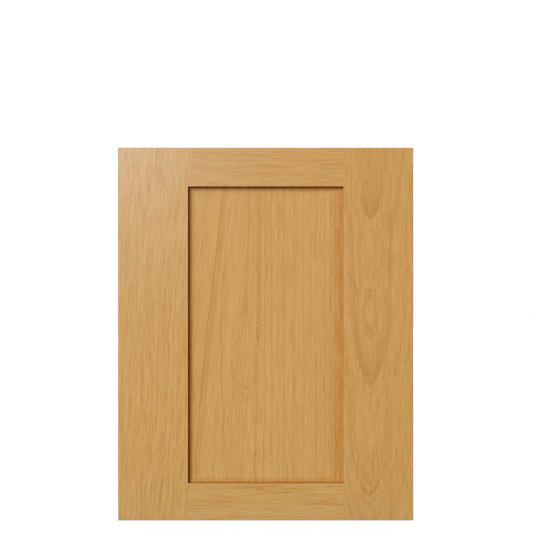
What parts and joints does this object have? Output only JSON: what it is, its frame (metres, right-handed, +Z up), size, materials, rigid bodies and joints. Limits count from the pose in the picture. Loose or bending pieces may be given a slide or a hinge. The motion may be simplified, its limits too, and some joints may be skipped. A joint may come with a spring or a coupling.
{
  "type": "kitchen cabinet door",
  "caption": "Frame-and-panel cabinet door: square-edged stiles and rails round a flat recessed panel, bored on its back for concealed hinges.",
  "frame": {"origin": "middle of the bottom edge, halfway through the frame's thickness", "axes": "+Z up along the stiles, +X to the right seen from the front, +Y from the front face to the back"},
  "size_m": [0.4444, 0.019, 0.561],
  "materials": {
    "frame_wood": "satin",
    "panel_wood": "satin",
    "dowel_wood": "matt",
    "panel_spacer": "matt"
  },
  "bodies": {
    "root": {"left_stile": "frame_wood", "right_stile": "frame_wood", "bottom_rail": "frame_wood", "top_rail": "frame_wood", "centre_panel": "panel_wood", "corner_dowels": "dowel_wood", "left_spacer_low": "panel_spacer", "left_spacer_middle": "panel_spacer", "left_spacer_high": "panel_spacer", "right_spacer_low": "panel_spacer", "right_spacer_middle": "panel_spacer", "right_spacer_high": "panel_spacer", "bottom_spacer_left": "panel_spacer", "bottom_spacer_right": "panel_spacer", "top_spacer_left": "panel_spacer", "top_spacer_right": "panel_spacer"}
  },
  "joints": []
}
